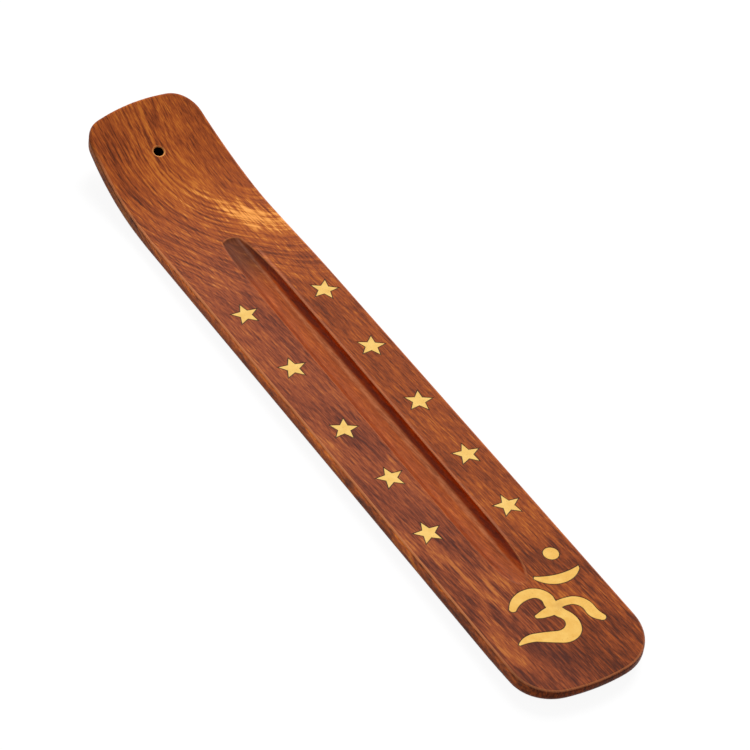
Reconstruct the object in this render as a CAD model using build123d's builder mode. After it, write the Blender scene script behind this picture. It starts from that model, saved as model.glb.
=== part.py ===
from build123d import *

import os
from math import acos, asin, cos, degrees, radians, sin, sqrt

# Incense stick holder: a sawn hardwood ash catcher with brass inlays set in dark filler.
# +X runs along the board to the end that carries the sign, the stick hole is near the upturned
# -X end, +Z is up, and the origin lies on the table under the middle of the board. Millimetres.

# Board
board_length = 255.4
board_thickness = 6.0
top_edge_round = 0.9
under_edge_round = 2.2

# Plan of the ends: both are shallow arcs with rounded corners, and the hole end is drawn in and
# a little out of square
sign_end_width = 42.6
sign_end_arc_radius = 54.7
sign_left_corner_radius = 12.5
sign_right_corner_radius = 15.6
shoulder_length = 38.7
shoulder_width = 41.9
hole_end_width = 37.9
hole_end_arc_radius = 71.0
hole_end_skew = 1.0
hole_left_corner_radius = 7.6
hole_right_corner_radius = 9.3

# Upturned hole end with the shallow dip before it, and the eased heel under the sign end
bend_length = 47.9
bend_dip = 0.8
dip_length = 35.0
tip_rise = 11.0
heel_length = 25.0
heel_rise = 2.5

# Stick hole, square to the upturned face
stick_hole_diameter = 3.2
stick_hole_margin = 17.5
stick_hole_shift = -0.5
stick_hole_edge_break = 0.3

# Ash trough: an oval cut with a gently curved floor. The far end rises slowly to a steep round nose,
# and the near end is lifted out of the wood
trough_width = 10.2
trough_depth = 3.0
trough_bend_gap = 11.3
trough_far_runout = 58.5
trough_far_lift = 1.5
trough_nose_radius = 3.6
trough_nose_open_share = 0.9
trough_near_runout = 32.0
trough_shift = 0.695
trough_turn = -0.35
trough_rim_round = 0.35
trough_flank_rise = 0.4
trough_corner_share = 0.85

# Inlays: brass cut from sheet, bedded in filler that shows as a dark line round each piece
brass_thickness = 1.0
filler_bed = 0.4
filler_rim = 0.3
filler_recess = 0.08

# Stars: places along the trough, places across the margin beside it, and turns in degrees
star_radius = 4.1
star_notch_share = 0.44
star_points = 5
star_left_along_shares = (0.1908, 0.3538, 0.5311, 0.6739, 0.8187)
star_left_across_shares = (0.487, 0.449, 0.449, 0.362, 0.499)
star_left_turns = (27.8, 23.1, 7.4, 31.3, 31.7)
star_right_along_shares = (0.1959, 0.367, 0.5301, 0.685, 0.8258)
star_right_across_shares = (0.563, 0.525, 0.517, 0.547, 0.489)
star_right_turns = (2.3, 5.6, 8.4, 23.8, 30.8)

# Sign: height along the board, reach across it, and the nominal width of its strokes
sign_margin = 15.4
sign_height = 21.5
sign_reach_share = 0.648
sign_stroke = 4.0
sign_shift = -0.2
sign_trough_gap = 1.6
# Each stroke: place along the height, place across the reach and half width of the stroke
sign_three_shares = (
    (-0.292, -0.286, 0.25),
    (-0.400, -0.163, 0.38),
    (-0.420, -0.027, 0.42),
    (-0.348, 0.076, 0.44),
    (-0.234, 0.107, 0.45),
    (-0.078, 0.094, 0.47),
    (0.062, 0.127, 0.44),
    (0.188, 0.156, 0.46),
    (0.328, 0.112, 0.57),
    (0.390, 0.007, 0.59),
    (0.362, -0.087, 0.52),
    (0.299, -0.192, 0.45),
    (0.237, -0.304, 0.35),
    (0.227, -0.415, 0.23),
    (0.248, -0.486, 0.08),
)
sign_waist_shares = (
    (-0.059, 0.094, 0.42),
    (-0.047, 0.029, 0.40),
    (-0.045, -0.040, 0.32),
    (-0.043, -0.087, 0.25),
    (-0.047, -0.121, 0.16),
)
sign_arm_shares = (
    (-0.082, 0.101, 0.34),
    (-0.101, 0.210, 0.32),
    (-0.078, 0.312, 0.35),
    (0.006, 0.388, 0.39),
    (0.141, 0.411, 0.41),
    (0.248, 0.417, 0.40),
    (0.332, 0.453, 0.29),
)

# Crescent and dot of the sign, placed along the sign's height and across its reach
crescent_span = 14.0
crescent_height = 5.6
crescent_along_share = -0.507
crescent_across_share = 0.389
crescent_upper_shares = ((-0.49, -0.46), (-0.10, 0.0), (-0.13, 0.50))
crescent_lower_shares = ((-0.38, -0.50), (0.50, 0.03), (0.04, 0.48))
dot_diameter = 4.5
dot_along_share = -0.877
dot_across_share = 0.491

# One overrun takes every cut clear of the wood
cut_overrun = 1.5

# Worked-out places
half_length = board_length / 2
bend_x = bend_length - half_length
dip_x = bend_x + dip_length
shoulder_x = shoulder_length - half_length
top_bend_rise = tip_rise + bend_dip
top_bend_radius = (bend_length**2 + top_bend_rise**2) / (2 * top_bend_rise)
under_bend_radius = (bend_length**2 + tip_rise**2) / (2 * tip_rise)
heel_x = half_length - heel_length
heel_radius = (heel_length**2 + heel_rise**2) / (2 * heel_rise)
pocket_depth = brass_thickness + filler_bed
trough_far_x = bend_x + trough_bend_gap
sign_reach = sign_reach_share * sign_end_width
sign_x = half_length - sign_margin - sign_height / 2
trough_near_x = sign_x - sign_height / 2 - sign_trough_gap
trough_length = trough_near_x - trough_far_x
trough_middle_x = (trough_near_x + trough_far_x) / 2
top_plane = Plane.XY.offset(board_thickness)


def half_width_at(x):
    """Half the board's width at a place between the shoulder and the sign end."""
    share = (x - shoulder_x) / (half_length - shoulder_x)
    return (shoulder_width + share * (sign_end_width - shoulder_width)) / 2


def trough_axis_at(x):
    """Where the trough's middle line lies across the board."""
    return trough_shift + (x - trough_middle_x) * sin(radians(trough_turn))


def end_corner_x(end_width, end_radius):
    """Where an end arc that touches the end of the board meets its side."""
    return half_length - end_radius + sqrt(end_radius**2 - end_width**2 / 4)


def trough_section(plane, open_height):
    """The trough's section: a wide floor arc between two tight corner arcs, up to a height over its floor."""
    half_width = trough_width / 2
    flank_depth = trough_depth + trough_flank_rise
    corner_radius = trough_corner_share * flank_depth
    corner_place = half_width - corner_radius
    floor_radius = (corner_place**2 + flank_depth**2 - corner_radius**2) / (2 * (flank_depth - corner_radius))
    floor_center = Vector(0, floor_radius - trough_depth)
    corner_center = Vector(corner_place, trough_flank_rise)
    outward = (corner_center - floor_center).normalized()
    join = floor_center + outward * floor_radius
    haunch = corner_center + (outward + Vector(1, 0)).normalized() * corner_radius
    lid_height = trough_flank_rise + cut_overrun
    with BuildSketch(plane) as section:
        with BuildLine():
            ThreePointArc((-join.X, join.Y), (0, -trough_depth), (join.X, join.Y))
            for side in (-1, 1):
                flank = (side * half_width, trough_flank_rise)
                ThreePointArc((side * join.X, join.Y), (side * haunch.X, haunch.Y), flank)
                Polyline(flank, (side * half_width, lid_height), (0, lid_height))
        make_face()
        with Locations((0, open_height / 2 - trough_depth)):
            Rectangle(trough_width, open_height, mode=Mode.INTERSECT)
    return section.sketch


def star_outline(plane, grow):
    """A five-pointed star with one point along the plane's x axis, grown by a rim."""
    step = 180 / star_points
    corners = []
    for index in range(2 * star_points):
        reach = star_radius if index % 2 == 0 else star_radius * star_notch_share
        corners.append((reach * cos(radians(index * step)), reach * sin(radians(index * step))))
    with BuildSketch(plane) as outline:
        with BuildLine():
            Polyline(*corners, close=True)
        make_face()
        if grow > 0:
            offset(amount=grow, kind=Kind.INTERSECTION)
    return outline.sketch


def stroke_edges(stroke_shares, grow):
    """The edges of a tapering stroke of the sign with round ends, grown by a rim."""
    middle = [Vector(along * sign_height, across * sign_reach) for along, across, _ in stroke_shares]
    halves = [half * sign_stroke + grow for _, _, half in stroke_shares]
    last = len(middle) - 1
    left_side = []
    right_side = []
    for index, point in enumerate(middle):
        heading = (middle[min(index + 1, last)] - middle[max(index - 1, 0)]).normalized()
        square = heading.rotate(Axis.Z, 90)
        left_side.append(point + square * halves[index])
        right_side.append(point - square * halves[index])
    first_tip = middle[0] - (middle[1] - middle[0]).normalized() * halves[0]
    last_tip = middle[last] + (middle[last] - middle[last - 1]).normalized() * halves[last]
    with BuildLine() as stroke:
        for start in range(0, last, 2):
            ThreePointArc(*left_side[start : start + 3])
            ThreePointArc(*right_side[start : start + 3])
        ThreePointArc(left_side[0], first_tip, right_side[0])
        ThreePointArc(left_side[last], last_tip, right_side[last])
    return stroke.edges()


def sign_body_outline(plane, grow):
    """The main body of the sign: the three-shaped stroke, its waist and its arm in one piece."""
    with BuildSketch(plane) as outline:
        for stroke_shares in (sign_three_shares, sign_waist_shares, sign_arm_shares):
            make_face(stroke_edges(stroke_shares, grow))
    return outline.sketch


def crescent_outline(plane, grow):
    """The crescent: two arcs joined by short blunt ends, grown by a rim."""
    size = Vector(crescent_height, crescent_span)
    upper = [(along * size.X, across * size.Y) for along, across in crescent_upper_shares]
    lower = [(along * size.X, across * size.Y) for along, across in crescent_lower_shares]
    with BuildSketch(plane) as outline:
        with BuildLine():
            ThreePointArc(*upper)
            ThreePointArc(*lower)
            Line(upper[0], lower[0])
            Line(upper[-1], lower[-1])
        make_face()
        if grow > 0:
            offset(amount=grow, kind=Kind.INTERSECTION)
    return outline.sketch


def dot_outline(plane, grow):
    """The round dot, grown by a rim."""
    with BuildSketch(plane) as outline:
        Circle(dot_diameter / 2 + grow)
    return outline.sketch


def sign_plane(along_share, across_share):
    """A plane on the top face, placed by shares of the sign's height and reach."""
    x = sign_x + along_share * sign_height
    y = sign_shift + across_share * sign_reach
    return top_plane.shift_origin(top_plane.from_local_coords((x, y)))


def star_plane(side, along_share, across_share, turn):
    """A plane on the top face at a star's place, turned to the star's first point."""
    x = trough_far_x + along_share * trough_length
    rim = trough_axis_at(x) + side * trough_width / 2
    y = rim + across_share * (side * half_width_at(x) - rim)
    return Plane((x, y, board_thickness), x_dir=(cos(radians(turn)), sin(radians(turn)), 0))


# Every inlay: its name, its brass outline and the outline of its pocket
inlays = []
star_rows = (
    ("left", -1, star_left_along_shares, star_left_across_shares, star_left_turns),
    ("right", 1, star_right_along_shares, star_right_across_shares, star_right_turns),
)
for row_name, side, along_shares, across_shares, turns in star_rows:
    places = zip(along_shares, across_shares, turns)
    for number, (along, across, turn) in enumerate(places, start=1):
        plane = star_plane(side, along, across, turn)
        name = f"star_{{}}_{row_name}_{number}"
        inlays.append((name, star_outline(plane, 0), star_outline(plane, filler_rim)))
body_plane = sign_plane(0, 0)
crescent_plane = sign_plane(crescent_along_share, crescent_across_share)
dot_plane = sign_plane(dot_along_share, dot_across_share)
inlays.append(("om_body_{}", sign_body_outline(body_plane, 0), sign_body_outline(body_plane, filler_rim)))
inlays.append(
    ("om_crescent_{}", crescent_outline(crescent_plane, 0), crescent_outline(crescent_plane, filler_rim))
)
inlays.append(("om_dot_{}", dot_outline(dot_plane, 0), dot_outline(dot_plane, filler_rim)))

os.makedirs("parts", exist_ok=True)

# Wooden base: side profile sawn across the width, cut to its plan and rounded over
sign_corner_x = end_corner_x(sign_end_width, sign_end_arc_radius)
hole_corner_x = -end_corner_x(hole_end_width, hole_end_arc_radius)
top_bend_sweep = degrees(asin((bend_length + cut_overrun) / top_bend_radius))
under_bend_sweep = degrees(asin((bend_length + cut_overrun) / under_bend_radius))
heel_sweep = degrees(asin((heel_length + cut_overrun) / heel_radius))
overall_height = board_thickness + tip_rise

# The trough's run-outs: arcs that bring its floor up to the top face
far_lift_radius = (trough_far_runout**2 + trough_far_lift**2) / (2 * trough_far_lift)
near_lift_radius = (trough_near_runout**2 + trough_depth**2) / (2 * trough_depth)
far_lift_sweep = degrees(asin(trough_far_runout / far_lift_radius))
near_lift_sweep = degrees(acos(1 - (trough_depth + cut_overrun) / near_lift_radius))
along_trough = Vector(1, 0, 0).rotate(Axis.Z, trough_turn)
across_trough = Vector(0, 1, 0).rotate(Axis.Z, trough_turn)
trough_middle = Vector(trough_middle_x, trough_shift, board_thickness)
straight_length = trough_length - trough_far_runout - trough_near_runout
straight_start = trough_middle + along_trough * (trough_far_runout - trough_length / 2)
straight_end = straight_start + along_trough * straight_length
far_lift_axis = Axis(straight_start + Vector(0, 0, far_lift_radius - trough_depth), across_trough)
near_lift_axis = Axis(straight_end + Vector(0, 0, near_lift_radius - trough_depth), -across_trough)
full_height = trough_depth + trough_flank_rise + cut_overrun
far_section = trough_section(Plane(straight_start, across_trough, along_trough), full_height)
near_section = trough_section(Plane(straight_end, across_trough, along_trough), full_height)
nose_section = trough_section(
    Plane(straight_start, across_trough, along_trough), trough_nose_open_share * trough_nose_radius
).rotate(far_lift_axis, far_lift_sweep)
nose_drop = Vector(0, 0, trough_nose_radius - far_lift_radius)
nose_drop = nose_drop.rotate(Axis((0, 0, 0), across_trough), far_lift_sweep)
nose_axis = Axis(far_lift_axis.position + nose_drop, across_trough)

# The hole's mouth, square to the bend
hole_x = stick_hole_margin - half_length
hole_lean = asin((bend_x - hole_x) / top_bend_radius)
hole_mouth_z = board_thickness - bend_dip + top_bend_radius * (1 - cos(hole_lean))
hole_plane = Plane((hole_x, stick_hole_shift, hole_mouth_z), z_dir=(sin(hole_lean), 0, cos(hole_lean)))

with BuildPart() as wooden_base:
    with BuildSketch(Plane.XZ.offset(sign_end_width)) as side_profile:
        with BuildLine():
            top_bend = CenterArc(
                (bend_x, board_thickness - bend_dip + top_bend_radius), top_bend_radius, 270, -top_bend_sweep
            )
            dip = Spline(top_bend @ 0, (dip_x, board_thickness), tangents=((1, 0), (1, 0)))
            under_bend = CenterArc((bend_x, under_bend_radius), under_bend_radius, 270, -under_bend_sweep)
            heel = CenterArc((heel_x, heel_radius), heel_radius, 270, heel_sweep)
            top_end = (half_length + cut_overrun, board_thickness)
            Line(top_bend @ 1, under_bend @ 1)
            Line(under_bend @ 0, heel @ 0)
            Line(heel @ 1, top_end)
            Line(top_end, dip @ 1)
        make_face()
    extrude(amount=-2 * sign_end_width)
    with BuildSketch() as plan:
        with BuildLine():
            sign_end = ThreePointArc(
                (sign_corner_x, -sign_end_width / 2), (half_length, 0), (sign_corner_x, sign_end_width / 2)
            )
            hole_end = ThreePointArc(
                (hole_corner_x + hole_end_skew, -hole_end_width / 2),
                (-half_length, 0),
                (hole_corner_x - hole_end_skew, hole_end_width / 2),
            )
            left_side = Line(sign_end @ 0, (shoulder_x, -shoulder_width / 2))
            right_side = Line(sign_end @ 1, (shoulder_x, shoulder_width / 2))
            TangentArc(left_side @ 1, hole_end @ 0, tangent=left_side % 1)
            TangentArc(right_side @ 1, hole_end @ 1, tangent=right_side % 1)
        make_face()
        corners = (
            (sign_end @ 0, sign_left_corner_radius),
            (sign_end @ 1, sign_right_corner_radius),
            (hole_end @ 0, hole_left_corner_radius),
            (hole_end @ 1, hole_right_corner_radius),
        )
        for corner, radius in corners:
            fillet(plan.vertices().sort_by_distance(corner)[0], radius)
    extrude(amount=overall_height + cut_overrun, both=True, mode=Mode.INTERSECT)
    top_faces = wooden_base.faces().filter_by(lambda face: face.normal_at().Z > 0)
    fillet(top_faces.edges().filter_by(Axis.Y, reverse=True), top_edge_round)
    under_faces = wooden_base.faces().filter_by(lambda face: face.normal_at().Z < -1 / 2)
    fillet(under_faces.edges().filter_by(Axis.Y, reverse=True), under_edge_round)

    # Ash trough, with its rim broken by sanding
    extrude(far_section, amount=straight_length, mode=Mode.SUBTRACT)
    revolve(far_section, axis=far_lift_axis, revolution_arc=far_lift_sweep, mode=Mode.SUBTRACT)
    revolve(nose_section, axis=nose_axis, revolution_arc=90, mode=Mode.SUBTRACT)
    revolve(near_section, axis=near_lift_axis, revolution_arc=near_lift_sweep, mode=Mode.SUBTRACT)
    top_faces = wooden_base.faces().filter_by(lambda face: face.bounding_box().size.Y > 2 * trough_width)
    top_faces = top_faces.filter_by(lambda face: face.normal_at().Z > 0)
    trough_rim = top_faces.edges().filter_by(Axis.Y, reverse=True)
    trough_rim = trough_rim.filter_by(lambda edge: bend_x < edge.center().X < trough_near_x)
    trough_rim = trough_rim.filter_by(lambda edge: abs(edge.center().Y) < trough_width)
    fillet(trough_rim, trough_rim_round)

    # Stick hole, with its mouth eased
    with Locations(hole_plane):
        Hole(stick_hole_diameter / 2)
    hole_mouth = wooden_base.edges().sort_by_distance(hole_plane.origin)[0]
    chamfer(hole_mouth, stick_hole_edge_break)

    # Pockets for the inlays
    for _, _, pocket in inlays:
        extrude(pocket, amount=-pocket_depth, mode=Mode.SUBTRACT)

wooden_base.part.label = "wooden_base"
export_step(wooden_base.part, "parts/wooden_base.step")

# Inlays and their filler beds: the brass lies flush with the wood on the bed that fills its pocket
for name, brass, pocket in inlays:
    with BuildPart() as inlay:
        extrude(brass, amount=-brass_thickness)
    inlay.part.label = name.format("inlay")
    export_step(inlay.part, f"parts/{inlay.part.label}.step")

    with BuildPart() as bed:
        extrude(pocket, amount=-pocket_depth)
        extrude(pocket, amount=-filler_recess, mode=Mode.SUBTRACT)
        extrude(brass, amount=-brass_thickness, mode=Mode.SUBTRACT)
    bed.part.label = name.format("bed")
    export_step(bed.part, f"parts/{bed.part.label}.step")
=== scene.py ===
"""Looks of the incense stick holder: its wood, brass and filler finishes, the studio and the camera."""

import logging
import math
from dataclasses import dataclass, field
from enum import Enum

import bpy
from mathutils import Matrix, Vector


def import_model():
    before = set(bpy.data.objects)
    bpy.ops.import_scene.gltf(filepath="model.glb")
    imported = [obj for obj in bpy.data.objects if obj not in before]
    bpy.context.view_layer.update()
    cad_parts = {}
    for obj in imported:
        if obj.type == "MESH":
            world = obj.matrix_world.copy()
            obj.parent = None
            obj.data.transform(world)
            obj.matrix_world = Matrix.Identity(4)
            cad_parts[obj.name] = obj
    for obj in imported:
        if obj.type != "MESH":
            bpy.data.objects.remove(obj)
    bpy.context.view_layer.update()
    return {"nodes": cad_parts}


log = logging.getLogger("incense_stick_holder")

Socket = bpy.types.NodeSocket
Number = float | Socket
Triple = tuple[float, float, float]
Screen = tuple[int, int, int]
Colour = tuple[float, float, float, float]
Stops = tuple[tuple[float, Colour], ...]

MILLIMETRES_PER_METRE = 1000.0
NOISE_MEAN = 0.5
SEED_STEP: Triple = (7.3, 3.1, 5.7)

# The curve of screen colours
SCREEN_FULL = 255
TOE_END = 0.04045
TOE_SLOPE = 12.92
KNEE_SHIFT = 0.055
GAMMA = 2.4


class Side(Enum):
    """The two rows of stars, by the side of the trough they lie on."""

    LEFT = "left"
    RIGHT = "right"


class Lay(Enum):
    """How a colour goes on the colour below: over it, or multiplied into it."""

    OVER = "MIX"
    STAIN = "MULTIPLY"


@dataclass(frozen=True)
class Run:
    """A smooth change along a measure: where it starts and ends, and what it gives there."""

    start: float
    end: float
    bottom: float = 0.0
    top: float = 1.0


@dataclass(frozen=True)
class Noise:
    """A soft noise: its grain along X, Y and Z in millimetres, and its finer layers.

    The seed makes another pattern of the same kind.
    """

    grain: Triple
    detail: float = 3.0
    rough: float = 0.55
    seed: float = 0.0


def linear(screen: Screen) -> Colour:
    """Turn a screen colour into the linear colour that a shader takes.

    Args:
        screen: Red, green and blue from 0 to 255.

    Returns:
        The linear colour with full alpha.
    """
    shares = []
    for value in screen:
        share = value / SCREEN_FULL
        if share <= TOE_END:
            shares.append(share / TOE_SLOPE)
        else:
            shares.append(((share + KNEE_SHIFT) / (1 + KNEE_SHIFT)) ** GAMMA)
    return (shares[0], shares[1], shares[2], 1.0)


class NodeBoard:
    """A material's node tree, with short calls that add nodes and join them."""

    def __init__(self, name: str) -> None:
        """Start an empty material with its output and main shader.

        Args:
            name: The material's name.
        """
        self.material = bpy.data.materials.new(name)
        self.material.use_nodes = True
        self.tree = self.material.node_tree
        self.tree.nodes.clear()
        output = self.tree.nodes.new("ShaderNodeOutputMaterial")
        self.shader = self.tree.nodes.new("ShaderNodeBsdfPrincipled")
        self.tree.links.new(self.shader.outputs["BSDF"], output.inputs["Surface"])

    def give(self, socket: Socket, value: object) -> None:
        """Set a socket to a constant, or join another socket to it.

        Args:
            socket: The socket that is fed.
            value: The constant, or the socket that feeds it.
        """
        if isinstance(value, bpy.types.NodeSocket):
            self.tree.links.new(value, socket)
        else:
            socket.default_value = value

    def feed(self, name: str, value: object) -> None:
        """Feed the main shader's socket of that name."""
        self.give(self.shader.inputs[name], value)

    def millimetres(self) -> Socket:
        """Give the object's own coordinates in millimetres."""
        place = self.tree.nodes.new("ShaderNodeTexCoord")
        return self.vector("SCALE", place.outputs["Object"], scale=MILLIMETRES_PER_METRE)

    def facing(self) -> Socket:
        """Give the surface's direction in the object's own frame."""
        return self.tree.nodes.new("ShaderNodeTexCoord").outputs["Normal"]

    def math(self, operation: str, first: Number, second: Number = 0.0, third: Number = 0.0) -> Socket:
        """Do one sum on numbers.

        Args:
            operation: Blender's name of the sum.
            first: The first number or socket.
            second: The second number or socket, where the sum has one.
            third: The third number or socket, where the sum has one.

        Returns:
            The socket that carries the result.
        """
        node = self.tree.nodes.new("ShaderNodeMath")
        node.operation = operation
        for index, value in enumerate((first, second, third)):
            self.give(node.inputs[index], value)
        return node.outputs[0]

    def plus(self, first: Number, second: Number) -> Socket:
        """Add two numbers."""
        return self.math("ADD", first, second)

    def minus(self, first: Number, second: Number) -> Socket:
        """Take the second number from the first."""
        return self.math("SUBTRACT", first, second)

    def largest(self, first: Number, second: Number) -> Socket:
        """Give the larger of two numbers."""
        return self.math("MAXIMUM", first, second)

    def smallest(self, first: Number, second: Number) -> Socket:
        """Give the smaller of two numbers."""
        return self.math("MINIMUM", first, second)

    def unsigned(self, value: Number) -> Socket:
        """Give a number without its sign."""
        return self.math("ABSOLUTE", value)

    def more(self, base: Number, value: Number, share: Number) -> Socket:
        """Add a share of a value to a base."""
        return self.math("MULTIPLY_ADD", value, share, base)

    def times(self, first: Socket, *others: Number) -> Socket:
        """Multiply numbers.

        Args:
            first: The first number.
            others: The numbers that it is multiplied by.

        Returns:
            The socket that carries the product.
        """
        product = first
        for number in others:
            product = self.math("MULTIPLY", product, number)
        return product

    def vector(self, operation: str, first: object, second: object = (0, 0, 0), scale: float = 1.0) -> Socket:
        """Do one sum on vectors.

        Args:
            operation: Blender's name of the sum.
            first: The first vector or socket.
            second: The second vector or socket, where the sum has one.
            scale: The number for a scaling.

        Returns:
            The socket that carries the result, a number for a length or a distance.
        """
        node = self.tree.nodes.new("ShaderNodeVectorMath")
        node.operation = operation
        self.give(node.inputs[0], first)
        self.give(node.inputs[1], second)
        if operation == "SCALE":
            self.give(node.inputs["Scale"], scale)
        return node.outputs["Value" if operation in ("LENGTH", "DISTANCE") else "Vector"]

    def parts(self, place: Socket) -> tuple[Socket, Socket, Socket]:
        """Split a vector into its three numbers.

        Args:
            place: The vector.

        Returns:
            The sockets of X, Y and Z.
        """
        node = self.tree.nodes.new("ShaderNodeSeparateXYZ")
        self.give(node.inputs[0], place)
        return node.outputs[0], node.outputs[1], node.outputs[2]

    def join(self, x: Number, y: Number, z: Number) -> Socket:
        """Join three numbers into a vector.

        Args:
            x: The number along X.
            y: The number along Y.
            z: The number along Z.

        Returns:
            The socket that carries the vector.
        """
        node = self.tree.nodes.new("ShaderNodeCombineXYZ")
        for index, value in enumerate((x, y, z)):
            self.give(node.inputs[index], value)
        return node.outputs[0]

    def along(self, value: Socket, run: Run, bottom: Socket | None = None) -> Socket:
        """Follow a smooth change along a measure, held at both ends.

        Args:
            value: The measure.
            run: The change.
            bottom: A socket that stands for the run's own bottom.

        Returns:
            The socket that carries the result.
        """
        node = self.tree.nodes.new("ShaderNodeMapRange")
        node.interpolation_type = "SMOOTHSTEP"
        first = run.bottom if bottom is None else bottom
        for index, number in enumerate((value, run.start, run.end, first, run.top)):
            self.give(node.inputs[index], number)
        return node.outputs[0]

    def noise(self, place: Socket, kind: Noise) -> Socket:
        """Give a soft noise.

        Args:
            place: The coordinates in millimetres.
            kind: The noise's grain and layers.

        Returns:
            The socket that carries the noise, about 0.5 on average.
        """
        stretched = self.vector("DIVIDE", place, kind.grain)
        shift = [kind.seed * step for step in SEED_STEP]
        node = self.tree.nodes.new("ShaderNodeTexNoise")
        self.give(node.inputs["Vector"], self.vector("ADD", stretched, shift))
        node.inputs["Scale"].default_value = 1.0
        node.inputs["Detail"].default_value = kind.detail
        node.inputs["Roughness"].default_value = kind.rough
        return node.outputs["Fac"]

    def swing(self, place: Socket, kind: Noise) -> Socket:
        """Give a soft noise about nought."""
        return self.minus(self.noise(place, kind), NOISE_MEAN)

    def swing_along(self, value: Socket, width: float, detail: float, seed: float) -> Socket:
        """Give noise about nought that changes along one number only, as growth rings do.

        Args:
            value: The number.
            width: The size of a grain along it.
            detail: How many finer layers the noise has.
            seed: A shift that makes another pattern of the same kind.

        Returns:
            The socket that carries the noise.
        """
        node = self.tree.nodes.new("ShaderNodeTexNoise")
        node.noise_dimensions = "1D"
        self.give(node.inputs["W"], self.more(seed, value, 1.0 / width))
        node.inputs["Scale"].default_value = 1.0
        node.inputs["Detail"].default_value = detail
        return self.minus(node.outputs["Fac"], NOISE_MEAN)

    def ramp(self, value: Socket, stops: Stops) -> Socket:
        """Turn a number from 0 to 1 into a colour by a few stops.

        Args:
            value: The number.
            stops: The colours and their places.

        Returns:
            The socket that carries the colour.
        """
        node = self.tree.nodes.new("ShaderNodeValToRGB")
        elements = node.color_ramp.elements
        while len(elements) < len(stops):
            elements.new(0.5)
        for element, (position, colour) in zip(elements, stops):
            element.position = position
            element.color = colour
        self.give(node.inputs[0], value)
        return node.outputs["Color"]

    def blend(self, way: Lay, colour: Socket, share: Socket, tint: object) -> Socket:
        """Lay a tint on a colour.

        Args:
            way: How it is laid on.
            colour: The colour below.
            share: How much of the tint is laid on, from 0 to 1.
            tint: The colour on top.

        Returns:
            The socket that carries the new colour.
        """
        node = self.tree.nodes.new("ShaderNodeMix")
        node.data_type = "RGBA"
        node.blend_type = way.value
        self.give(node.inputs["Factor"], share)
        below, above = [socket for socket in node.inputs if socket.type == "RGBA"]
        self.give(below, colour)
        self.give(above, tint)
        return [socket for socket in node.outputs if socket.type == "RGBA"][0]

    def cover(self, colour: Socket, share: Socket, paint: Colour) -> Socket:
        """Lay a paint over a colour by a share."""
        return self.blend(Lay.OVER, colour, share, paint)

    def multiply_in(self, colour: Socket, share: Socket, tint: object) -> Socket:
        """Multiply a tint into a colour by a share."""
        return self.blend(Lay.STAIN, colour, share, tint)

    def relief(self, height: Socket, depth: float) -> None:
        """Raise the surface.

        Args:
            height: How far it is raised, as a share of the depth.
            depth: The depth of the relief in metres.
        """
        node = self.tree.nodes.new("ShaderNodeBump")
        node.inputs["Strength"].default_value = 1.0
        node.inputs["Distance"].default_value = depth
        self.give(node.inputs["Height"], height)
        self.feed("Normal", node.outputs["Normal"])


@dataclass(frozen=True)
class Spot:
    """A spot of the wood's surface: the sockets that the layers of its finish read, in millimetres.

    The sides say which way the surface faces, and slanted is the place along the fibres. The shares at the
    hole end, in its arches and inside the trough go from 0 to 1. Across is the place across the trough, and
    depth is the depth below the top face. Feather, fibre and hair are noises about nought.
    """

    place: Socket
    x: Socket
    y: Socket
    z: Socket
    side_x: Socket
    side_y: Socket
    side_z: Socket
    slanted: Socket
    at_hole_end: Socket
    arched: Socket
    feather: Socket
    fibre: Socket
    hair: Socket
    inside: Socket
    across: Socket
    depth: Socket


@dataclass(frozen=True)
class GrowthBand:
    """A band of growth: its reach from the heart in millimetres, and its tone from 0, dark, to 1, light."""

    reach: float
    tone: float


@dataclass(frozen=True)
class Figure:
    """A flame or shadow in the wood: an ellipse on the board, in millimetres and degrees, and its tone."""

    x: float
    y: float
    turn: float
    half_length: float
    half_width: float
    tone: float


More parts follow.
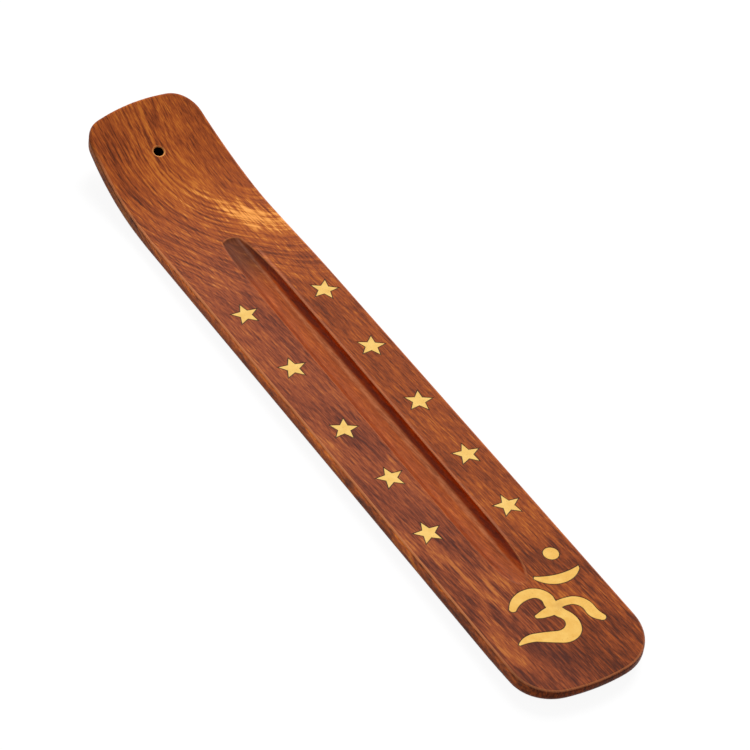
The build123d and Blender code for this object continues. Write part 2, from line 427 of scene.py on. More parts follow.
@dataclass(frozen=True)
class GrowthRings:
    """Growth rings about a heart that lies beside and below the board, in millimetres.

    The rings run out along the board, so the flat shows slanting bands and the upturned end shows arches.
    Above the crest they stand upright. Fine lines and patches follow the rings, strongest in the arches.
    """

    heart_y: float = 25.0
    heart_z: float = -45.0
    run_out: float = 0.31
    run_out_growth: float = 0.00026
    bark_shift: float = -2.2
    crest_least: float = 9.9
    crest_slope: float = -0.3
    crest_at_middle: float = -23.1
    hole_end: Run = Run(-30, -65)
    arches_to_right: Run = Run(13, 3)
    arches_full_width: Run = Run(-98, -82)
    sway: Noise = Noise((80, 26, 26), 1, seed=2)
    sway_reach: float = 4.0
    fray: Run = Run(-70, 40, 1.5, 13.0)
    line_width: float = 0.55
    line_detail: float = 2.0
    line_seed: float = 40.0
    line_fray: float = 0.5
    line_tone: float = 0.10
    arched_line_tone: float = 0.52
    patch: Noise = Noise((11, 0.9, 1.0), 3, 0.6, seed=8)
    patch_spread: float = 2.0
    patch_tone: float = 1.05
    dark_patch_tone: float = 0.9
    dark_patch_lift: float = 0.055
    figure_fray: float = 2.2
    figure_edge: Run = Run(1.0, 0.15)
    bands: tuple[GrowthBand, ...] = (
        GrowthBand(18, 0.48),
        GrowthBand(24, 0.53),
        GrowthBand(26.5, 0.57),
        GrowthBand(28.5, 0.58),
        GrowthBand(31.5, 0.57),
        GrowthBand(34, 0.44),
        GrowthBand(36, 0.54),
        GrowthBand(38, 0.52),
        GrowthBand(41, 0.42),
        GrowthBand(44, 0.52),
        GrowthBand(50, 0.42),
        GrowthBand(54, 0.50),
        GrowthBand(56, 0.42),
        GrowthBand(59, 0.53),
        GrowthBand(66, 0.40),
        GrowthBand(71, 0.62),
        GrowthBand(74, 0.48),
        GrowthBand(80.5, 0.28),
        GrowthBand(86, 0.66),
        GrowthBand(89, 0.24),
        GrowthBand(93, 0.38),
        GrowthBand(96.5, 0.16),
        GrowthBand(101, 0.40),
        GrowthBand(106, 0.20),
    )
    figures: tuple[Figure, ...] = (
        Figure(-76, 14.5, 38, 13, 7.5, 0.56),
        Figure(-94, 3, 15, 17, 8, 0.12),
        Figure(-100, -17, 5, 22, 4, -0.14),
        Figure(-120.5, 3, 8, 6, 2.2, -0.28),
        Figure(-119, -9, 0, 9, 6, -0.08),
        Figure(-34, -7, 2, 28, 4.5, -0.14),
        Figure(-28, 10, 25, 12, 5, -0.16),
        Figure(22, -11, 3, 30, 7, -0.20),
        Figure(-117, 8, 0, 9, 6.5, 0.17),
        Figure(-60, 11, 35, 12, 6, 0.06),
        Figure(27, 13, 0, 14, 6, 0.07),
        Figure(73, 13, 0, 10, 6, 0.07),
        Figure(73, -9, 10, 12, 4.5, -0.19),
        Figure(86, -11.5, 24, 15, 4.4, 0.34),
        Figure(88, -17, 24, 8, 2.6, -0.06),
        Figure(105, -17, 8, 16, 5, 0.38),
        Figure(104, 15, 0, 14, 4, -0.18),
        Figure(117, 0, 90, 11, 7, -0.10),
    )

    def arches(self, board: NodeBoard, x: Socket, y: Socket) -> tuple[Socket, Socket]:
        """Give how far a spot belongs to the hole end and to its arches.

        Args:
            board: The material's node board.
            x: The place along the board.
            y: The place across the board.

        Returns:
            The shares of the hole end and of the arches, from 0 to 1.
        """
        at_hole_end = board.along(x, self.hole_end)
        shown = board.largest(board.along(y, self.arches_to_right), board.along(x, self.arches_full_width))
        return at_hole_end, board.times(at_hole_end, shown)

    def reach(self, board: NodeBoard, spot: Spot) -> Socket:
        """Give the reach from the heart that the growth rings follow.

        Args:
            board: The material's node board.
            spot: The spot of the surface.

        Returns:
            The socket that carries the reach in millimetres.
        """
        crest = board.more(self.crest_at_middle, spot.x, self.crest_slope)
        below_crest = board.smallest(spot.z, board.largest(crest, self.crest_least))
        height = board.minus(below_crest, self.heart_z)
        from_heart = board.join(0.0, board.minus(spot.y, self.heart_y), height)
        around = board.plus(board.vector("LENGTH", from_heart), self.bark_shift)
        return board.more(around, spot.x, board.more(self.run_out, spot.x, self.run_out_growth))

    def band_tone(self, board: NodeBoard, reach: Socket) -> Socket:
        """Give the tone of the broad growth bands.

        Args:
            board: The material's node board.
            reach: The reach from the heart in millimetres.

        Returns:
            The socket that carries the tone.
        """
        first = self.bands[0].reach
        length = self.bands[-1].reach - first
        stops = []
        for band in self.bands:
            stops.append(((band.reach - first) / length, (band.tone, band.tone, band.tone, 1.0)))
        return board.ramp(board.math("DIVIDE", board.minus(reach, first), length), tuple(stops))

    def ring_tone(self, board: NodeBoard, spot: Spot, reach: Socket, tone: Socket) -> Socket:
        """Lay the fine lines and patches that follow the rings on a tone.

        Args:
            board: The material's node board.
            spot: The spot of the surface.
            reach: The reach from the heart in millimetres.
            tone: The tone below.

        Returns:
            The socket that carries the new tone.
        """
        frayed = board.more(reach, spot.feather, self.line_fray)
        lines = board.swing_along(frayed, self.line_width, self.line_detail, self.line_seed)
        tone = board.more(tone, lines, board.more(self.line_tone, spot.arched, self.arched_line_tone))
        patch_place = board.join(spot.x, board.times(reach, self.patch_spread), 0.0)
        patch = board.swing(patch_place, self.patch)
        tone = board.more(tone, patch, board.times(spot.arched, self.patch_tone))
        dark = board.more(self.dark_patch_lift, board.smallest(patch, 0.0), self.dark_patch_tone)
        return board.more(tone, dark, spot.arched)

    def figure_tone(self, board: NodeBoard, spot: Spot, tone: Socket) -> Socket:
        """Lay the local flames and shadows on a tone, frayed along the fibres.

        Args:
            board: The material's node board.
            spot: The spot of the surface.
            tone: The tone below.

        Returns:
            The socket that carries the new tone.
        """
        for figure in self.figures:
            node = board.tree.nodes.new("ShaderNodeMapping")
            node.vector_type = "TEXTURE"
            node.inputs["Location"].default_value = (figure.x, figure.y, 0.0)
            node.inputs["Rotation"].default_value = (0.0, 0.0, math.radians(figure.turn))
            node.inputs["Scale"].default_value = (figure.half_length, figure.half_width, 1.0)
            board.give(node.inputs["Vector"], spot.place)
            flat = board.vector("MULTIPLY", node.outputs["Vector"], (1.0, 1.0, 0.0))
            away = board.more(board.vector("LENGTH", flat), spot.feather, self.figure_fray)
            tone = board.more(tone, board.along(away, self.figure_edge), figure.tone)
        return tone

    def tone(self, board: NodeBoard, spot: Spot) -> Socket:
        """Give the tone of the bands with their lines, patches and figures.

        Args:
            board: The material's node board.
            spot: The spot of the surface.

        Returns:
            The socket that carries the tone.
        """
        sway = board.swing(spot.place, self.sway)
        swayed = board.more(self.reach(board, spot), sway, self.sway_reach)
        frayed = board.times(spot.feather, board.along(spot.x, self.fray))
        tone = self.band_tone(board, board.plus(swayed, frayed))
        tone = self.ring_tone(board, spot, swayed, tone)
        return self.figure_tone(board, spot, tone)


@dataclass(frozen=True)
class Grain:
    """Streaks, fibres, hair lines and dark pores along the fibres, which run at a slant to the board.

    The tone is kept from its brightest, but not in the flame by the bend.
    """

    slant: float = 0.07
    feather: Noise = Noise((15, 1.4, 2.6), 3, 0.6, seed=1)
    streak: Noise = Noise((14, 1.1, 2.8), 4, 0.65, seed=3)
    fibre: Noise = Noise((6, 0.42, 2.0), 3, 0.65, seed=4)
    hair: Noise = Noise((3.2, 0.42, 1.2), 2, 0.6, seed=5)
    pore: Noise = Noise((9, 0.5, 2.2), 1, 0.5, seed=6)
    contrast_at_bend: Run = Run(-85, -50, 0.95, 0.92)
    contrast_at_sign: Run = Run(50, 80, 1.0, 1.3)
    arched_contrast: float = -0.35
    streak_share: float = 0.8
    hair_contrast: Run = Run(-85, -50, 0.75, 1.1)
    pore_edge: Run = Run(0.40, 0.30)
    pore_tone: float = 0.10
    hole_end_pore_tone: float = 0.15
    flame_start: Run = Run(-98, -84, 0.82, 1.3)
    flame_end: Run = Run(-62, -40, 1.3, 0.82)

    def lay(self, board: NodeBoard, spot: Spot, tone: Socket) -> Socket:
        """Lay the grain on a tone.

        Args:
            board: The material's node board.
            spot: The spot of the surface.
            tone: The tone below.

        Returns:
            The socket that carries the new tone.
        """
        contrast = board.more(board.along(spot.x, self.contrast_at_bend), spot.arched, self.arched_contrast)
        contrast = board.times(contrast, board.along(spot.x, self.contrast_at_sign))
        streak = board.swing(spot.slanted, self.streak)
        tone = board.more(tone, streak, board.times(contrast, self.streak_share))
        tone = board.more(tone, spot.fibre, contrast)
        tone = board.more(tone, spot.hair, board.along(spot.x, self.hair_contrast))
        pore = board.along(board.noise(spot.slanted, self.pore), self.pore_edge)
        pore_tone = board.more(self.pore_tone, spot.at_hole_end, self.hole_end_pore_tone)
        tone = board.minus(tone, board.times(pore, pore_tone))
        flame_end = board.along(spot.x, self.flame_end)
        return board.smallest(tone, board.smallest(flame_end, board.along(spot.x, self.flame_start)))


@dataclass(frozen=True)
class PaintedSheen:
    """A painted purple sheen on the flat: the reflection of its bright surroundings, stronger to the left,
    which the upturned end lacks.
    """

    past_bend: Run = Run(-105, -35)
    to_left: Run = Run(6, -10, 0.10, 0.5)
    on_top: Run = Run(0.3, 0.8)
    at_sign: Run = Run(50, 90, 1.0, 0.7)
    tint: Colour = (1.0, 1.24, 2.9, 1.0)

    def lay(self, board: NodeBoard, spot: Spot, colour: Socket) -> Socket:
        """Lay the painted sheen on a colour.

        Args:
            board: The material's node board.
            spot: The spot of the surface.
            colour: The colour below.

        Returns:
            The socket that carries the new colour.
        """
        # Painted sheen: a purple-grey reflection is laid on the upward faces of the flat.
        share = board.times(
            board.along(spot.x, self.past_bend),
            board.along(spot.y, self.to_left),
            board.along(spot.side_z, self.on_top),
            board.along(spot.x, self.at_sign),
        )
        return board.multiply_in(colour, share, self.tint)


@dataclass(frozen=True)
class AshTrough:
    """The ash trough, in millimetres: redder wood, a scuffed track with a painted sheen on it, and painted
    shade on its right wall, at its nose and along the foot of its left wall.

    The trough lies a little askew on the board, and top is the height of the board's top face beside it.
    """

    middle: float = 6.2
    shift: float = 0.72
    turn: float = -0.0061
    top: Run = Run(-44.8, -79.8, 6.0, 5.2)
    below_top: Run = Run(0.05, 0.4)
    above_underside: Run = Run(4.2, 3.6)
    half_width: Run = Run(5.6, 5.3)
    half_length: Run = Run(86, 84)
    red: Colour = (0.42, 0.085, 0.015, 1.0)
    red_share: float = 0.35
    grit: Noise = Noise((8, 0.45, 2.0), 3, 0.65, seed=9)
    grit_tints: Stops = ((0.36, (0.84, 0.80, 0.78, 1.0)), (0.64, (1.20, 1.22, 1.26, 1.0)))
    corner_shade_inner: Run = Run(-1.9, -2.6)
    corner_shade_outer: Run = Run(-3.9, -3.3)
    corner_shade_tint: Colour = (0.72, 0.56, 0.36, 1.0)
    track: float = 2.6
    track_width: Run = Run(1.2, 0.2)
    track_fray: Run = Run(-0.12, 0.14, 0.25, 0.65)
    scuff_and_sheen_paint: Colour = (0.60, 0.21, 0.09, 1.0)
    wall_out_past_nose: Run = Run(-45, -10, 0.0, 0.7)
    wall_in_at_sign: Run = Run(54, 84, 0.0, 1.4)
    wall_fray: float = 1.4
    wall_shade_edge: Run = Run(2.35, 3.1)
    # The colour of the painted shade on the right wall.
    wall_shade_tint: Colour = (0.64, 0.31, 0.06, 1.0)
    nose: Run = Run(-45, -63)
    nose_shade_tint: Colour = (0.42, 0.50, 0.75, 1.0)

    def find(self, board: NodeBoard, x: Socket, y: Socket, z: Socket) -> tuple[Socket, Socket, Socket]:
        """Give where a spot lies in the trough.

        Args:
            board: The material's node board.
            x: The place along the board.
            y: The place across the board.
            z: The height above the table.

        Returns:
            The share inside from 0 to 1, the place across and the depth below the top face.
        """
        along = board.minus(x, self.middle)
        across = board.minus(y, board.more(self.shift, along, self.turn))
        depth = board.minus(board.along(x, self.top), z)
        inside = board.times(
            board.along(board.unsigned(across), self.half_width),
            board.along(depth, self.below_top),
            board.along(depth, self.above_underside),
            board.along(board.unsigned(along), self.half_length),
        )
        return inside, across, depth

    def lay(self, board: NodeBoard, spot: Spot, colour: Socket) -> Socket:
        """Lay the trough's stains and scuffs, its painted sheen and its painted shade on a colour.

        Args:
            board: The material's node board.
            spot: The spot of the surface.
            colour: The colour below.

        Returns:
            The socket that carries the new colour.
        """
        inside = spot.inside
        colour = board.cover(colour, board.times(inside, self.red_share), self.red)
        grit = board.ramp(board.noise(spot.slanted, self.grit), self.grit_tints)
        colour = board.multiply_in(colour, inside, grit)
        # Painted shade: the floor darkens and reddens along the foot of the left wall, in the shaded corner.
        corner_shade = board.times(
            inside,
            board.along(spot.across, self.corner_shade_inner),
            board.along(spot.across, self.corner_shade_outer),
        )
        colour = board.multiply_in(colour, corner_shade, self.corner_shade_tint)
        # The pale track along the floor is partly machining scuffs and partly a painted sheen on them.
        from_track = board.unsigned(board.minus(spot.across, self.track))
        scuffs_and_sheen = board.times(
            board.along(from_track, self.track_width),
            board.along(spot.hair, self.track_fray),
            inside,
        )
        colour = board.cover(colour, scuffs_and_sheen, self.scuff_and_sheen_paint)
        # Painted shade: the right wall, turned away from the lamp, is darkened from a frayed edge up to the
        # rim.
        up_wall = board.minus(spot.across, board.along(spot.x, self.wall_out_past_nose))
        up_wall = board.plus(up_wall, board.along(spot.x, self.wall_in_at_sign))
        up_wall = board.more(up_wall, spot.hair, self.wall_fray)
        right_wall_shade = board.times(inside, board.along(up_wall, self.wall_shade_edge))
        colour = board.multiply_in(colour, right_wall_shade, self.wall_shade_tint)
        # Painted shade: the trough darkens towards its far nose.
        nose = board.times(inside, board.along(spot.x, self.nose))
        return board.multiply_in(colour, nose, self.nose_shade_tint)


@dataclass(frozen=True)
class PaintedEdgeHighlights:
    """Painted highlights on the edges: the rim of the top face and the right lip of the trough, in
    millimetres.

    The top face leans where the board bends up, so the rim is found by how far it turns from that lean. The
    painted highlight is strongest where the rim faces the sign end or the left side.
    """

    bend_start: float = -79.8
    bend_radius: float = 103.1
    off_top: Run = Run(0.99, 0.93)
    off_wall: Run = Run(0.45, 0.7)
    beside_middle: Run = Run(12, 15)
    clear_of_tip: Run = Run(-119, -109)
    middle_share: Run = Run(-88, -78, 0.0, 0.5)
    sign_end: Run = Run(95, 105)
    upper_edge: Run = Run(3.5, 4.5)
    to_sign_or_left: Run = Run(-0.1, 0.4, 0.25, 0.8)
    highlight_at_bend: Run = Run(-95, -78, 0.7, 1.0)
    highlight_at_sign: Run = Run(98, 118, top=0.5)
    # The colour of the painted highlight on the rim.
    paint: Colour = (0.80, 0.27, 0.10, 1.0)
    lip_outer: Run = Run(6.0, 5.4)
    lip_inner: Run = Run(4.8, 5.1)
    lip_depth: Run = Run(0.35, 0.2, 0.0, 0.24)
    lip_start: Run = Run(-66, -58)
    lip_end: Run = Run(78, 66)
    lip_highlight_paint: Colour = (0.80, 0.30, 0.16, 1.0)

    def turned(self, board: NodeBoard, spot: Spot) -> Socket:
        """Give how squarely a spot faces out of the top face, bent as the board is.

        Args:
            board: The material's node board.
            spot: The spot of the surface.

        Returns:
            The socket that carries 1 on the top face and less where the surface turns away from it.
        """
        past_bend = board.largest(board.minus(self.bend_start, spot.x), 0.0)
        lean = board.math("DIVIDE", past_bend, self.bend_radius)
        level = board.math("SQRT", board.minus(1.0, board.times(lean, lean)))
        return board.more(board.times(spot.side_z, level), spot.side_x, lean)

    def rim(self, board: NodeBoard, spot: Spot) -> Socket:
        """Give how far a spot belongs to the rim with its painted highlight.

        Args:
            board: The material's node board.
            spot: The spot of the surface.

        Returns:
            The socket that carries the share from 0 to 1.
        """
        turned = self.turned(board, spot)
        beside = board.times(
            board.along(board.unsigned(spot.y), self.beside_middle),
            board.along(spot.x, self.clear_of_tip),
        )
        middle_share = board.along(spot.x, self.middle_share)
        shown = board.largest(beside, board.along(spot.x, self.sign_end, middle_share))
        return board.times(
            board.along(turned, self.off_top),
            board.along(turned, self.off_wall),
            shown,
            board.minus(1.0, spot.inside),
            board.along(spot.z, self.upper_edge),
        )

    def lay(self, board: NodeBoard, spot: Spot, colour: Socket) -> Socket:
        """Lay the painted edge highlights on a colour.

        Args:
            board: The material's node board.
            spot: The spot of the surface.
            colour: The colour below.

        Returns:
            The socket that carries the new colour.
        """
        # Painted highlight: the rim and the trough's right lip are lightened most where they face the sign
        # end or the left side.
        facing_highlight = board.along(board.minus(spot.side_x, spot.side_y), self.to_sign_or_left)
        highlight_reach = board.along(spot.x, self.highlight_at_sign, board.along(spot.x, self.highlight_at_bend))
        colour = board.cover(colour, board.times(self.rim(board, spot), facing_highlight, highlight_reach), self.paint)
        lip = board.times(
            board.along(spot.across, self.lip_outer),
            board.along(spot.across, self.lip_inner),
            board.along(spot.depth, self.lip_depth),
            board.along(spot.x, self.lip_start),
            board.along(spot.x, self.lip_end),
        )
        return board.cover(colour, lip, self.lip_highlight_paint)


@dataclass(frozen=True)
class SawnWalls:
    """The sawn walls, in millimetres: the left one with painted light on its upper part and dim at the bend,
    the end one with painted shade.
    """

    left: Run = Run(-0.7, -0.95)
    rise: Run = Run(2.0, 5.5, 0.0, 0.75)
    rise_at_bend: Run = Run(-98, -62, 0.2, 1.0)
    rise_at_sign: Run = Run(92, 104, 1.0, 0.7)
    painted_light_tint: Colour = (2.9, 3.1, 2.4, 1.0)
    dim: Run = Run(-76, -92)
    dim_tint: Colour = (0.66, 0.76, 0.95, 1.0)
    end: Run = Run(0.6, 0.95)
    end_shade_tint: Colour = (0.66, 0.56, 0.50, 1.0)

    def lay(self, board: NodeBoard, spot: Spot, colour: Socket) -> Socket:
        """Lay the walls' tints, painted light and painted shade, on a colour.

        Args:
            board: The material's node board.
            spot: The spot of the surface.
            colour: The colour below.

        Returns:
            The socket that carries the new colour.
        """
        left = board.along(spot.side_y, self.left)
        # Painted light: the left wall is lightened from its lower part up towards its top.
        left_wall_light = board.times(
            left,
            board.along(spot.z, self.rise),
            board.along(spot.x, self.rise_at_bend),
            board.along(spot.x, self.rise_at_sign),
        )
        colour = board.multiply_in(colour, left_wall_light, self.painted_light_tint)
        colour = board.multiply_in(colour, board.times(left, board.along(spot.x, self.dim)), self.dim_tint)
        # Painted shade: faces turned to the sign end, away from the lamp, are darkened.
        return board.multiply_in(colour, board.along(spot.side_x, self.end), self.end_shade_tint)


@dataclass(frozen=True)
class StickHole:
    """The drilled hole with its bore painted near black as shade, and its pale rim, paler towards the trough,
    in millimetres.
    """

    mouth: Triple = (-110.2, -0.5, 9.783)
    axis: Triple = (0.2948, 0.0, 0.95556)
    rim: Run = Run(2.3, 1.8)
    rim_to_trough: Run = Run(-1.6, 1.6, 0.35, 0.85)
    rim_paint: Colour = (1.0, 0.42, 0.12, 1.0)
    bore: Run = Run(1.66, 1.61)
    bore_shade_paint: Colour = (0.008, 0.003, 0.002, 1.0)

    def lay(self, board: NodeBoard, spot: Spot, colour: Socket) -> tuple[Socket, Socket]:
        """Lay the hole's rim and bore on a colour.

        Args:
            board: The material's node board.
            spot: The spot of the surface.
            colour: The colour below.

        Returns:
            The sockets of the new colour and of the share that lies in the bore, from 0 to 1.
        """
        from_mouth = board.vector("SUBTRACT", spot.place, self.mouth)
        from_axis = board.vector("LENGTH", board.vector("CROSS_PRODUCT", from_mouth, self.axis))
        to_trough, _, _ = board.parts(from_mouth)
        rim = board.times(board.along(from_axis, self.rim), board.along(to_trough, self.rim_to_trough))
        colour = board.cover(colour, rim, self.rim_paint)
        # Painted shade: the bore is covered near black, as the deep hole lies in shade.
        bore = board.along(from_axis, self.bore)
        return board.cover(colour, bore, self.bore_shade_paint), bore


@dataclass(frozen=True)
class Rosewood:
    """Oiled rosewood, sawn out of one block, with its stained trough and its drilled hole, and with a painted
    sheen, painted highlights on its edges and painted shade.
    """

    rings: GrowthRings = GrowthRings()
    grain: Grain = Grain()
    painted_sheen: PaintedSheen = PaintedSheen()
    trough: AshTrough = AshTrough()
    edge_highlights: PaintedEdgeHighlights = PaintedEdgeHighlights()
    walls: SawnWalls = SawnWalls()
    hole: StickHole = StickHole()
    full_tone: float = 1.25
    tints: Stops = (
        (0.0, (0.080, 0.018, 0.007, 1.0)),
        (0.20, (0.170, 0.036, 0.010, 1.0)),
        (0.40, (0.300, 0.064, 0.015, 1.0)),
        (0.56, (0.420, 0.100, 0.018, 1.0)),
        (0.68, (0.550, 0.165, 0.026, 1.0)),
        (0.80, (0.740, 0.265, 0.050, 1.0)),
        (1.0, (0.930, 0.380, 0.085, 1.0)),
    )
    roughness: float = 0.42
    fibre_roughness: float = 0.25
    gloss: Run = Run(-110, -85, 0.09, 0.15)
    gloss_on_top: Run = Run(0.2, 0.7, 0.3, 1.0)
    hair_relief: float = 0.6
    relief_depth: float = 0.00006

    def read(self, board: NodeBoard) -> Spot:
        """Give the sockets that the layers of the finish read.

        Args:
            board: The material's node board.

        Returns:
            The spot of the surface.
        """
        place = board.millimetres()
        x, y, z = board.parts(place)
        side_x, side_y, side_z = board.parts(board.facing())
        slanted = board.join(x, board.more(y, x, -self.grain.slant), z)
        at_hole_end, arched = self.rings.arches(board, x, y)
        inside, across, depth = self.trough.find(board, x, y, z)
        return Spot(
            place=place,
            x=x,
            y=y,
            z=z,
            side_x=side_x,
            side_y=side_y,
            side_z=side_z,
            slanted=slanted,
            at_hole_end=at_hole_end,
            arched=arched,
            feather=board.swing(slanted, self.grain.feather),
            fibre=board.swing(slanted, self.grain.fibre),
            hair=board.swing(slanted, self.grain.hair),
            inside=inside,
            across=across,
            depth=depth,
        )

    def polish(self, board: NodeBoard, spot: Spot, bore: Socket) -> None:
        """Give the surface its roughness, its gloss and the relief of its fibres.

        Args:
            board: The material's node board.
            spot: The spot of the surface.
            bore: The share that lies in the hole's bore, which has no gloss.
        """
        board.feed("Roughness", board.more(self.roughness, spot.fibre, self.fibre_roughness))
        gloss = board.times(
            board.along(spot.x, self.gloss),
            board.along(spot.side_z, self.gloss_on_top),
            board.minus(1.0, bore),
        )
        board.feed("Specular IOR Level", gloss)
        board.relief(board.more(spot.fibre, spot.hair, self.hair_relief), self.relief_depth)

    def make(self) -> bpy.types.Material:
        """Build the wood's material, layer by layer.

        Returns:
            The material.
        """
        board = NodeBoard("rosewood")
        spot = self.read(board)
        tone = self.grain.lay(board, spot, self.rings.tone(board, spot))
        colour = board.ramp(board.math("DIVIDE", tone, self.full_tone), self.tints)
        for layer in (self.painted_sheen, self.trough, self.edge_highlights, self.walls):
            colour = layer.lay(board, spot, colour)
        colour, bore = self.hole.lay(board, spot, colour)
        board.feed("Base Color", colour)
        self.polish(board, spot, bore)
        return board.material


@dataclass(frozen=True)
class InlayBrass:
    """Brass sanded flush with the wood, with faint clouds, specks and one brown stain, in millimetres."""

    name: str
    dull: Screen
    bright: Screen
    roughness: float = 0.34
    cloud: Noise = Noise((2.2, 2.2, 2.2), 4, 0.6)
    dull_place: float = 0.3
    bright_place: float = 0.7
    speck: Noise = Noise((0.5, 0.5, 0.5), 1, seed=11)
    speck_edge: Run = Run(0.68, 0.76, 0.0, 0.35)
    speck_paint: Colour = (0.45, 0.20, 0.05, 1.0)
    stain_middle: Triple = (100.0, 3.9, 6.0)
    stain_edge: Run = Run(2.6, 0.4, 0.0, 0.28)
    stain_fray: float = 3.0
    stain_paint: Colour = (0.50, 0.22, 0.05, 1.0)

    def make(self) -> bpy.types.Material:
        """Build the brass's material.

        Returns:
            The material.
        """
        board = NodeBoard(self.name)
        place = board.millimetres()
        cloud = board.noise(place, self.cloud)
        stops = ((self.dull_place, linear(self.dull)), (self.bright_place, linear(self.bright)))
        colour = board.ramp(cloud, stops)
        speck = board.along(board.noise(place, self.speck), self.speck_edge)
        colour = board.cover(colour, speck, self.speck_paint)
        away = board.vector("DISTANCE", place, self.stain_middle)
        frayed = board.more(away, board.minus(cloud, NOISE_MEAN), self.stain_fray)
        colour = board.cover(colour, board.along(frayed, self.stain_edge), self.stain_paint)
        board.feed("Base Color", colour)
        board.feed("Metallic", 1.0)
        board.feed("Roughness", self.roughness)
        return board.material


@dataclass(frozen=True)
class DarkFiller:
    """The dark lac that holds the brass in its pockets."""

    roughness: float = 0.6
    cloud: Noise = Noise((0.8, 0.8, 0.8))
    dark: Screen = (46, 28, 16)
    dark_place: float = 0.3
    light: Screen = (84, 54, 26)
    light_place: float = 0.7

    def make(self) -> bpy.types.Material:
        """Build the filler's material.

        Returns:
            The material.
        """
        board = NodeBoard("dark_filler")
        cloud = board.noise(board.millimetres(), self.cloud)
        stops = ((self.dark_place, linear(self.dark)), (self.light_place, linear(self.light)))
        board.feed("Base Color", board.ramp(cloud, stops))
        board.feed("Roughness", self.roughness)
        return board.material


def put_on(piece: bpy.types.Object, material: bpy.types.Material) -> None:
    """Put a material on every slot of a piece and report it.

    Args:
        piece: The piece.
        material: The material.
    """
    for slot in piece.material_slots:
        slot.material = material
    log.info("%s wears %s", piece.name, material.name)


@dataclass
class WoodenBase:
    """The sawn and upturned board with its trough, stick hole and pockets."""

    node: str = "wooden_base"
    finish: Rosewood = field(default_factory=Rosewood)

    def dress(self, nodes: dict[str, bpy.types.Object]) -> None:
        """Give the board its finish."""
        put_on(nodes[self.node], self.finish.make())


@dataclass
class InlaySet:
    """All brass inlays and the beds of filler that they lie in."""

    per_row: int = 5
    star_brass: InlayBrass = InlayBrass("star_brass", (244, 197, 108), (254, 213, 126))
    sign_brass: InlayBrass = InlayBrass("sign_brass", (240, 186, 93), (251, 204, 113))
    filler: DarkFiller = field(default_factory=DarkFiller)

    def sign_names(self) -> list[str]:
        """Give the name of each piece of the sign, with a place for inlay or bed."""
        return ["om_body_{}", "om_crescent_{}", "om_dot_{}"]

    def star_names(self) -> list[str]:
        """Give the name of each star, with a place for inlay or bed.

        Returns:
            The names, row by row.
        """
        names = []
        for side in Side:
            for number in range(1, self.per_row + 1):
                names.append(f"star_{{}}_{side.value}_{number}")
        return names

    def dress(self, nodes: dict[str, bpy.types.Object]) -> None:
        """Give each inlay its brass and each bed its filler.

        Args:
            nodes: The pieces by name.
        """
        filler = self.filler.make()
        for names, finish in ((self.sign_names(), self.sign_brass), (self.star_names(), self.star_brass)):
            brass = finish.make()
            for name in names:
                put_on(nodes[name.format("inlay")], brass)
                put_on(nodes[name.format("bed")], filler)


def looked_at(tree: bpy.types.NodeTree) -> Socket:
    """Tell the rays that show the surroundings: seen, mirrored or through glass.

    Args:
        tree: The node tree that asks.

    Returns:
        The socket that carries 1 for such a ray and 0 for any other.
    """
    path = tree.nodes.new("ShaderNodeLightPath")
    shown = path.outputs["Is Camera Ray"]
    for kind in ("Is Glossy Ray", "Is Transmission Ray"):
        either = tree.nodes.new("ShaderNodeMath")
        either.operation = "MAXIMUM"
        tree.links.new(shown, either.inputs[0])
        tree.links.new(path.outputs[kind], either.inputs[1])
        shown = either.outputs[0]
    return shown


def mix_shaders(
    tree: bpy.types.NodeTree,
    share: Socket,
    first: bpy.types.Node,
    second: bpy.types.Node,
) -> Socket:
    """Mix two shaders.

    Args:
        tree: The node tree that they are in.
        share: How much of the second one there is, from 0 to 1.
        first: The first shader.
        second: The second shader.

    Returns:
        The socket that carries the mixed shader.
    """
    mix = tree.nodes.new("ShaderNodeMixShader")
    for index, socket in enumerate((share, first.outputs[0], second.outputs[0])):
        tree.links.new(socket, mix.inputs[index])
    return mix.outputs[0]


@dataclass(frozen=True)
class SoftBox:
    """A square lamp that looks at the board, by its direction from the board, in metres and watts."""

    name: str = "main_light"
    toward: Triple = (-0.45, 0.5, 0.8)
    away: float = 1.6
    side: float = 1.0
    watts: float = 29.0

    def hang(self) -> None:
        """Hang the lamp, out of sight of reflections."""
        data = bpy.data.lights.new(self.name, "AREA")
        data.size = self.side
        data.energy = self.watts
        lamp = bpy.data.objects.new(self.name, data)
        bpy.context.scene.collection.objects.link(lamp)
        direction = Vector(self.toward).normalized()
        lamp.location = direction * self.away
        lamp.rotation_euler = direction.to_track_quat("Z", "Y").to_euler()
        lamp.visible_glossy = False


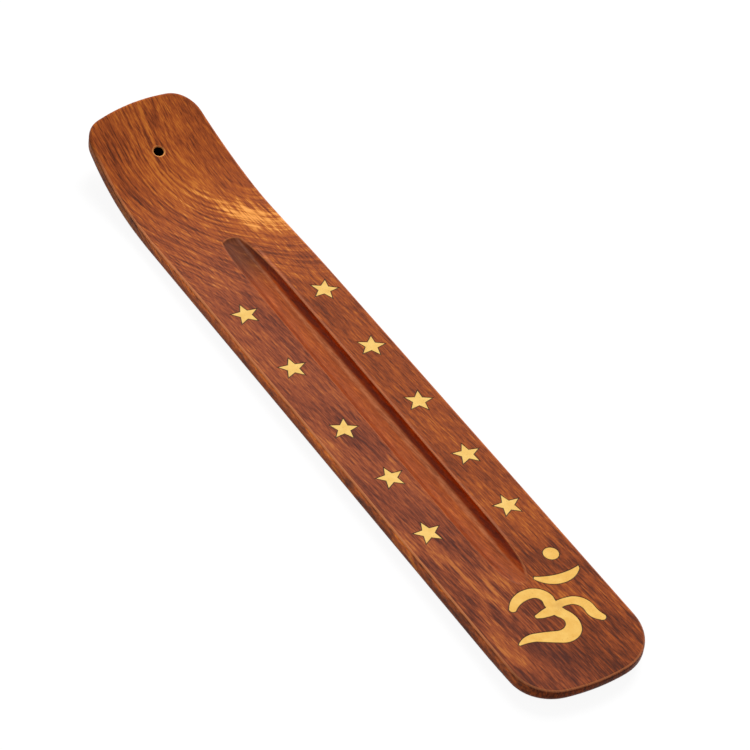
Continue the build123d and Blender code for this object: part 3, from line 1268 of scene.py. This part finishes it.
@dataclass
class Studio:
    """The camera, the pale floor, the soft light and the white surroundings, in metres and degrees."""

    azimuth: float = 51.74
    elevation: float = 42.86
    roll: float = 8.25
    distance: float = 1.01011
    target: Triple = (-0.00476, 0.01211, 0.0)
    lens: float = 166.28
    sensor: float = 36.0
    nearest: float = 0.01
    light: SoftBox = SoftBox()
    fill: float = 0.25
    fill_colour: Colour = (0.97, 0.98, 1.0, 1.0)
    white: Colour = (1.0, 1.0, 1.0, 1.0)
    floor_size: float = 6.0
    floor_drop: float = 0.0002
    floor_colour: Colour = (0.88, 0.88, 0.88, 1.0)
    floor_glow: float = 1.06
    floor_lift: float = 0.87

    def aim(self) -> None:
        """Set up the camera at the photograph's viewing angle."""
        azimuth = math.radians(self.azimuth)
        elevation = math.radians(self.elevation)
        roll = math.radians(self.roll)
        back = Vector(
            (
                math.sin(azimuth) * math.cos(elevation),
                -math.cos(azimuth) * math.cos(elevation),
                math.sin(elevation),
            )
        )
        right = Vector((math.cos(azimuth), math.sin(azimuth), 0.0))
        up = back.cross(right)
        turned_right = right * math.cos(roll) + up * math.sin(roll)
        turned_up = up * math.cos(roll) - right * math.sin(roll)
        eye = Vector(self.target) + back * self.distance
        data = bpy.data.cameras.new("camera")
        data.lens = self.lens
        data.sensor_width = self.sensor
        data.clip_start = self.nearest
        camera = bpy.data.objects.new("camera", data)
        bpy.context.scene.collection.objects.link(camera)
        camera.matrix_world = Matrix(
            (
                (turned_right.x, turned_up.x, back.x, eye.x),
                (turned_right.y, turned_up.y, back.y, eye.y),
                (turned_right.z, turned_up.z, back.z, eye.z),
                (0.0, 0.0, 0.0, 1.0),
            )
        )
        bpy.context.scene.camera = camera

    def surround(self) -> None:
        """Make the world light the board softly and look white."""
        world = bpy.data.worlds.new("studio")
        bpy.context.scene.world = world
        world.use_nodes = True
        tree = world.node_tree
        tree.nodes.clear()
        output = tree.nodes.new("ShaderNodeOutputWorld")
        seen = tree.nodes.new("ShaderNodeBackground")
        seen.inputs["Color"].default_value = self.white
        lit = tree.nodes.new("ShaderNodeBackground")
        lit.inputs["Color"].default_value = self.fill_colour
        lit.inputs["Strength"].default_value = self.fill
        tree.links.new(mix_shaders(tree, looked_at(tree), lit, seen), output.inputs["Surface"])

    def floor_material(self) -> bpy.types.Material:
        """Build the floor's material, lifted towards white where it is looked at.

        Returns:
            The material.
        """
        material = bpy.data.materials.new("pale_floor")
        material.use_nodes = True
        tree = material.node_tree
        tree.nodes.clear()
        output = tree.nodes.new("ShaderNodeOutputMaterial")
        matt = tree.nodes.new("ShaderNodeBsdfDiffuse")
        matt.inputs["Color"].default_value = self.floor_colour
        glow = tree.nodes.new("ShaderNodeEmission")
        glow.inputs["Strength"].default_value = self.floor_glow
        lift = tree.nodes.new("ShaderNodeMath")
        lift.operation = "MULTIPLY"
        tree.links.new(looked_at(tree), lift.inputs[0])
        lift.inputs[1].default_value = self.floor_lift
        tree.links.new(mix_shaders(tree, lift.outputs[0], matt, glow), output.inputs["Surface"])
        return material

    def lay_floor(self) -> None:
        """Lay the pale floor, which keeps the board's shadow."""
        bpy.ops.object.select_all(action="DESELECT")
        bpy.ops.mesh.primitive_plane_add(size=self.floor_size, location=(0.0, 0.0, -self.floor_drop))
        floor = bpy.context.active_object
        floor.name = "floor"
        floor.data.materials.append(self.floor_material())

    def build(self) -> None:
        """Set up the whole studio."""
        bpy.context.scene.view_settings.view_transform = "Standard"
        self.aim()
        self.surround()
        self.light.hang()
        self.lay_floor()


def main() -> None:
    """Load the frame, dress its pieces and set up the studio."""
    logging.basicConfig(level=logging.INFO)
    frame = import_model()
    WoodenBase().dress(frame["nodes"])
    InlaySet().dress(frame["nodes"])
    Studio().build()


if __name__ == "__main__":
    main()
